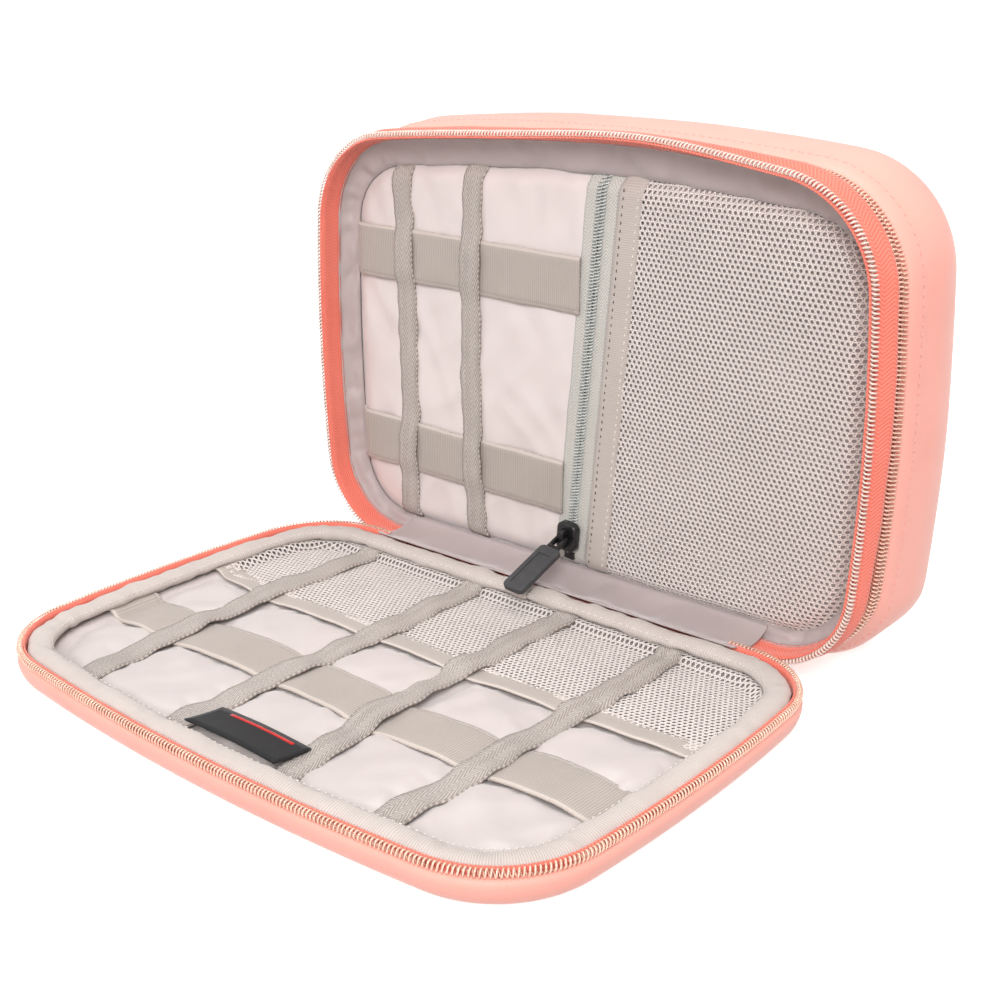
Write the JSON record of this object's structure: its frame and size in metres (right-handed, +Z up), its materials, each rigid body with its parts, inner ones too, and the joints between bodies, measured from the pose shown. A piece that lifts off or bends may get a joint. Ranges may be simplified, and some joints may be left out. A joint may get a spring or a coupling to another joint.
{
  "type": "cable organizer pouch",
  "caption": "Two-compartment zip-around travel pouch with a padded partition, hinged front lid and deep rear cover, elastic loops and net pockets inside.",
  "frame": {"origin": "centre of the flat bottom that the rear cover stands on", "axes": "+X to the right along the pouch, +Y to the back from the open lid towards the rear cover, +Z up"},
  "size_m": [0.2464, 0.2315, 0.171],
  "materials": {
    "shell_fabric": "smooth coated nylon, soft sheen",
    "zipper_tape": "herringbone woven tape",
    "zipper_coil": "rose-gold coated nylon coil",
    "satin_lining": "satin weave",
    "stiffener_board": "plain board",
    "foam_padding": "foam sheet",
    "wide_elastic": "ribbed elastic",
    "strap_webbing": "herringbone elastic",
    "net_fabric": "round-hole net",
    "rim_binding": "fine ribbed grosgrain",
    "pocket_zipper_tape": "herringbone woven tape",
    "pocket_zipper_coil": "light grey coil",
    "zipper_metal": "rose-gold plated",
    "black_metal": "black enamel",
    "pull_rubber": "moulded matt rubber",
    "label_cloth": "plain woven label"
  },
  "bodies": {
    "pouch_body": {"front_hinge_strip": "satin_lining", "front_zipper_body_coil": "zipper_coil", "front_zipper_body_tape": "zipper_tape", "front_zipper_end_stops": "zipper_metal", "gusset_lining": "satin_lining", "gusset_shell": "shell_fabric", "partition_board": "stiffener_board", "partition_elastic_lower": "wide_elastic", "partition_elastic_upper": "wide_elastic", "partition_front_panel": "satin_lining", "partition_net_pocket": "net_fabric", "partition_rear_lining": "satin_lining", "partition_strap_left": "strap_webbing", "partition_strap_right": "strap_webbing", "pocket_binding": "rim_binding", "pocket_zipper_coil": "pocket_zipper_coil", "pocket_zipper_end_stop": "pocket_zipper_coil", "pocket_zipper_tape_left": "pocket_zipper_tape", "pocket_zipper_tape_right": "pocket_zipper_tape", "rear_hinge_strip": "satin_lining", "rear_zipper_body_coil": "zipper_coil", "rear_zipper_body_tape": "zipper_tape", "rear_zipper_end_stops": "zipper_metal"},
    "front_lid": {"lid_elastic_band": "wide_elastic", "lid_foam": "foam_padding", "lid_label": "label_cloth", "lid_lining": "satin_lining", "lid_net_hem": "wide_elastic", "lid_net_pocket": "net_fabric", "lid_outer_shell": "shell_fabric", "lid_rim_binding": "rim_binding", "lid_strap_1": "strap_webbing", "lid_strap_2": "strap_webbing", "lid_strap_3": "strap_webbing", "lid_strap_4": "strap_webbing", "lid_zipper_coil": "zipper_coil", "lid_zipper_tape": "zipper_tape"},
    "rear_cover": {"rear_cover_foam": "foam_padding", "rear_cover_lining": "satin_lining", "rear_cover_shell": "shell_fabric", "rear_zipper_cover_coil": "zipper_coil", "rear_zipper_cover_tape": "zipper_tape"},
    "front_slider_left_body": {"front_left_slider": "zipper_metal"},
    "front_pull_left_body": {"front_left_pull_eye": "zipper_metal", "front_left_pull_tab": "pull_rubber"},
    "front_slider_right_body": {"front_right_slider": "zipper_metal"},
    "front_pull_right_body": {"front_right_pull_eye": "zipper_metal", "front_right_pull_tab": "pull_rubber"},
    "rear_slider_upper_body": {"rear_upper_slider": "zipper_metal"},
    "rear_pull_upper_body": {"rear_upper_pull_eye": "zipper_metal", "rear_upper_pull_tab": "pull_rubber"},
    "rear_slider_lower_body": {"rear_lower_slider": "zipper_metal"},
    "rear_pull_lower_body": {"rear_lower_pull_eye": "zipper_metal", "rear_lower_pull_tab": "pull_rubber"},
    "pocket_slider_body": {"pocket_slider": "black_metal"},
    "pocket_pull_body": {"pocket_pull_eye": "black_metal", "pocket_pull_tab": "pull_rubber"}
  },
  "joints": [
    {"name": "front_lid_hinge", "type": "hinge", "parent": "pouch_body", "child": "front_lid", "pos_m": [0, -0.04405, 0.00905], "axis": [-1, 0, 0], "range_deg": [0, 90]},
    {"name": "rear_cover_hinge", "type": "hinge", "parent": "pouch_body", "child": "rear_cover", "pos_m": [0, -0.0215, 0.0066], "axis": [-1, 0, 0], "range_deg": [0, 90]},
    {"name": "front_slider_left_travel", "type": "hinge", "parent": "pouch_body", "child": "front_slider_left_body", "pos_m": [-0.08617, -0.03375, 0.039], "axis": [0, 1, 0], "range_deg": [0, 83.9]},
    {"name": "front_slider_right_travel", "type": "hinge", "parent": "pouch_body", "child": "front_slider_right_body", "pos_m": [0.08617, -0.03375, 0.039], "axis": [0, -1, 0], "range_deg": [0, 83.9]},
    {"name": "front_pull_left_swing", "type": "hinge", "parent": "front_slider_left_body", "child": "front_pull_left_body", "pos_m": [-0.08617, -0.03375, 0.0022], "axis": [0, 1, 0], "range_deg": [0, 150]},
    {"name": "front_pull_right_swing", "type": "hinge", "parent": "front_slider_right_body", "child": "front_pull_right_body", "pos_m": [0.08617, -0.03375, 0.0022], "axis": [0, -1, 0], "range_deg": [0, 150]},
    {"name": "rear_slider_upper_travel", "type": "hinge", "parent": "pouch_body", "child": "rear_slider_upper_body", "pos_m": [0.4909, -0.0215, 0.085], "axis": [0, 1, 0], "range_deg": [0, 2.32]},
    {"name": "rear_slider_lower_travel", "type": "hinge", "parent": "pouch_body", "child": "rear_slider_lower_body", "pos_m": [0.4909, -0.0215, 0.085], "axis": [0, -1, 0], "range_deg": [0, 2.4]},
    {"name": "rear_pull_upper_swing", "type": "hinge", "parent": "rear_slider_upper_body", "child": "rear_pull_upper_body", "pos_m": [-0.12455, -0.0215, 0.10263], "axis": [0, 1, 0], "range_deg": [0, 130]},
    {"name": "rear_pull_lower_swing", "type": "hinge", "parent": "rear_slider_lower_body", "child": "rear_pull_lower_body", "pos_m": [-0.12455, -0.0215, 0.06737], "axis": [0, 1, 0], "range_deg": [0, 130]},
    {"name": "pocket_slider_travel", "type": "slide", "parent": "pouch_body", "child": "pocket_slider_body", "axis": [0.0872, 0, 0.9962], "range_m": [0, 0.095]},
    {"name": "pocket_pull_swing", "type": "hinge", "parent": "pocket_slider_body", "child": "pocket_pull_body", "pos_m": [-0.00089, -0.03225, 0.02697], "axis": [-0.9962, 0, 0.0872], "range_deg": [0, 107.6]}
  ],
  "couplings": [
    {"joint": "pocket_pull_swing", "follows": "front_lid_hinge", "ratio": 1.19}
  ]
}
